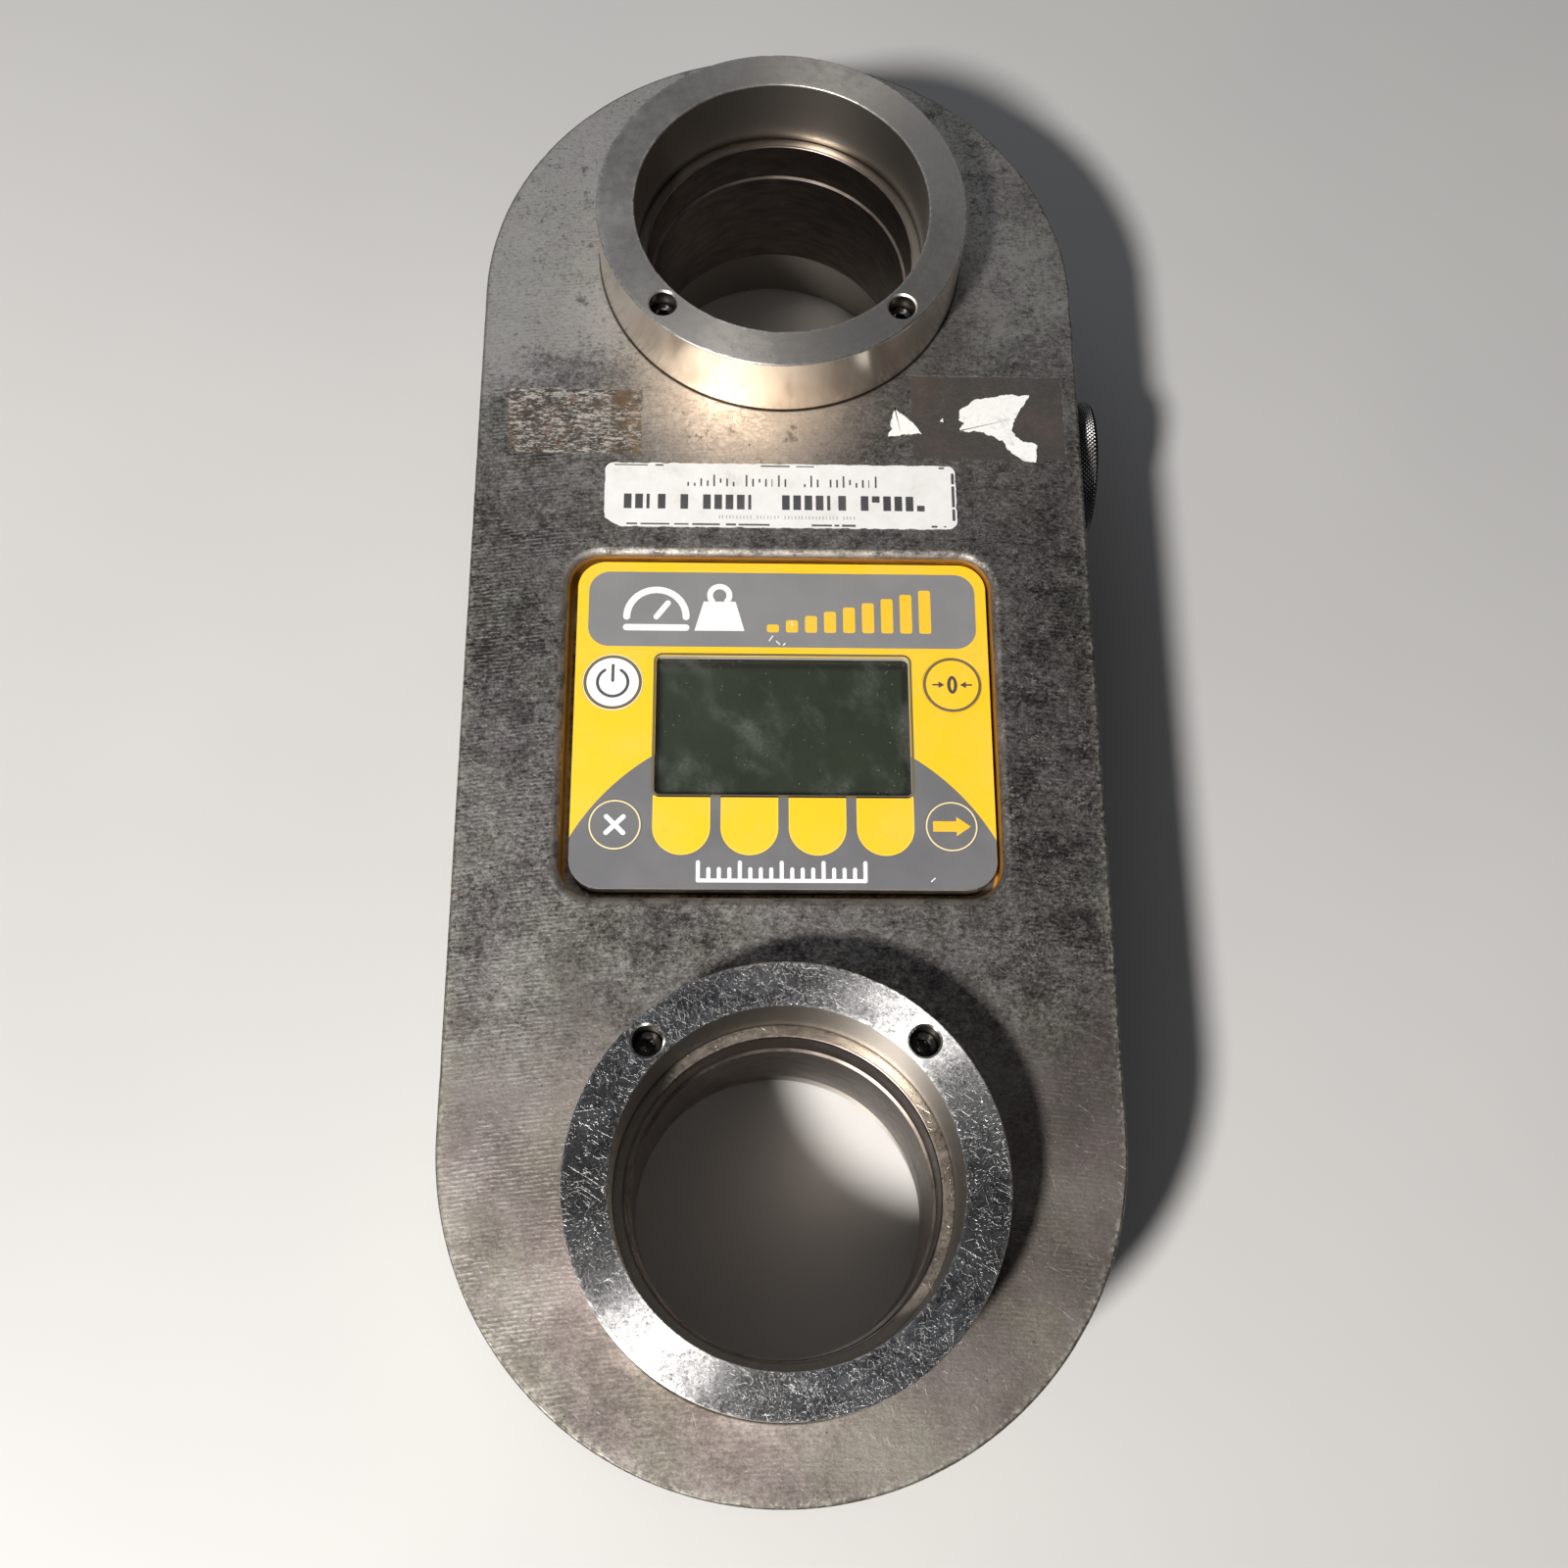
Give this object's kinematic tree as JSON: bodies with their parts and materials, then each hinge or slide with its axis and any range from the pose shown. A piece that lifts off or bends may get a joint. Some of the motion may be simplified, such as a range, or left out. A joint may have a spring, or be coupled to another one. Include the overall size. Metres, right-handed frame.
{
  "type": "crane scale",
  "caption": "Link-type crane scale: a thick steel link with a ringed pin hole at each end for shackles, a recessed keypad display panel and a screw-capped battery tube.",
  "frame": {"origin": "on the surface that the scale lies on, under the middle of its bounding box; the link's own centre plane is at x = -3.15 mm", "axes": "+Y along the link towards the end with the label, +X towards the battery cap, +Z out of the keypad panel"},
  "size_m": [0.1662, 0.3886, 0.0936],
  "materials": {
    "link_steel": "milled faces with a mottled grey-brown patina",
    "ring_steel": "turned, satin, scratched",
    "screw_steel": "black oxide",
    "cap_steel": "knurled rim",
    "overlay_film": "printed polyester, yellow and grey",
    "yellow_film": "printed polyester",
    "white_film": "printed polyester",
    "grey_film": "printed polyester",
    "clear_film": "translucent polyester",
    "display_window": "clear, dusty",
    "display_glass": "unlit liquid crystal panel",
    "black_plastic": "moulded",
    "aluminium": "machined",
    "rubber": "matte",
    "circuit_board": "solder mask",
    "lead_insulation": "insulated wire",
    "brass": "machined",
    "spring_steel": "plated wire",
    "cell_sleeve": "printed sleeve",
    "gauge_foil": "polyimide foil",
    "label_film": "worn white vinyl"
  },
  "bodies": {
    "link": {"link_body": "link_steel", "front_upper_ring": "ring_steel", "front_lower_ring": "ring_steel", "rear_upper_ring": "ring_steel", "rear_lower_ring": "ring_steel", "front_upper_ring_screw_1": "screw_steel", "front_upper_ring_screw_2": "screw_steel", "front_lower_ring_screw_1": "screw_steel", "front_lower_ring_screw_2": "screw_steel", "rear_upper_ring_screw_1": "screw_steel", "rear_upper_ring_screw_2": "screw_steel", "rear_lower_ring_screw_1": "screw_steel", "rear_lower_ring_screw_2": "screw_steel", "keypad_overlay": "overlay_film", "keypad_spacer": "clear_film", "keypad_circuit": "clear_film", "display_window": "display_window", "display_glass": "display_glass", "display_carrier": "black_plastic", "panel_plate": "aluminium", "panel_gasket": "rubber", "panel_screw_1": "screw_steel", "panel_screw_2": "screw_steel", "panel_screw_3": "screw_steel", "panel_screw_4": "screw_steel", "circuit_board": "circuit_board", "board_standoff_1": "brass", "board_standoff_2": "brass", "board_standoff_3": "brass", "board_standoff_4": "brass", "board_screw_1": "screw_steel", "board_screw_2": "screw_steel", "board_screw_3": "screw_steel", "board_screw_4": "screw_steel", "strain_gauge_1": "gauge_foil", "strain_gauge_2": "gauge_foil", "strain_gauge_3": "gauge_foil", "strain_gauge_4": "gauge_foil", "gauge_lead": "lead_insulation", "battery_lead": "lead_insulation", "battery_liner": "black_plastic", "battery_contact": "brass", "inner_battery_cell": "cell_sleeve", "outer_battery_cell": "cell_sleeve", "capacity_label": "label_film"},
    "power_key": {"power_key": "white_film"},
    "zero_key": {"zero_key": "yellow_film"},
    "escape_key": {"escape_key": "grey_film"},
    "next_key": {"next_key": "grey_film"},
    "soft_key_1": {"soft_key_1": "yellow_film"},
    "soft_key_2": {"soft_key_2": "yellow_film"},
    "soft_key_3": {"soft_key_3": "yellow_film"},
    "soft_key_4": {"soft_key_4": "yellow_film"},
    "battery_spring": {"battery_spring": "spring_steel"},
    "battery_cap": {"battery_cap": "cap_steel", "cap_seal": "rubber"}
  },
  "joints": [
    {"name": "power_key_press", "type": "slide", "parent": "link", "child": "power_key", "axis": [0, 0, -1], "range_m": [0, 0.0005], "stiffness_N_per_m": 5000},
    {"name": "zero_key_press", "type": "slide", "parent": "link", "child": "zero_key", "axis": [0, 0, -1], "range_m": [0, 0.0005], "stiffness_N_per_m": 5000},
    {"name": "escape_key_press", "type": "slide", "parent": "link", "child": "escape_key", "axis": [0, 0, -1], "range_m": [0, 0.0005], "stiffness_N_per_m": 5000},
    {"name": "next_key_press", "type": "slide", "parent": "link", "child": "next_key", "axis": [0, 0, -1], "range_m": [0, 0.0005], "stiffness_N_per_m": 5000},
    {"name": "soft_key_1_press", "type": "slide", "parent": "link", "child": "soft_key_1", "axis": [0, 0, -1], "range_m": [0, 0.0005], "stiffness_N_per_m": 5000},
    {"name": "soft_key_2_press", "type": "slide", "parent": "link", "child": "soft_key_2", "axis": [0, 0, -1], "range_m": [0, 0.0005], "stiffness_N_per_m": 5000},
    {"name": "soft_key_3_press", "type": "slide", "parent": "link", "child": "soft_key_3", "axis": [0, 0, -1], "range_m": [0, 0.0005], "stiffness_N_per_m": 5000},
    {"name": "soft_key_4_press", "type": "slide", "parent": "link", "child": "soft_key_4", "axis": [0, 0, -1], "range_m": [0, 0.0005], "stiffness_N_per_m": 5000},
    {"name": "battery_cap_travel", "type": "slide", "parent": "link", "child": "battery_spring", "axis": [1, 0, 0], "range_m": [0, 0.012]},
    {"name": "battery_cap_turn", "type": "hinge", "parent": "battery_spring", "child": "battery_cap", "pos_m": [0.07685, 0.075, 0.0468], "axis": [1, 0, 0], "range_deg": [0, 2160]}
  ],
  "couplings": [
    {"joint": "battery_cap_turn", "follows": "battery_cap_travel", "rad_per_m": 3141.6}
  ]
}
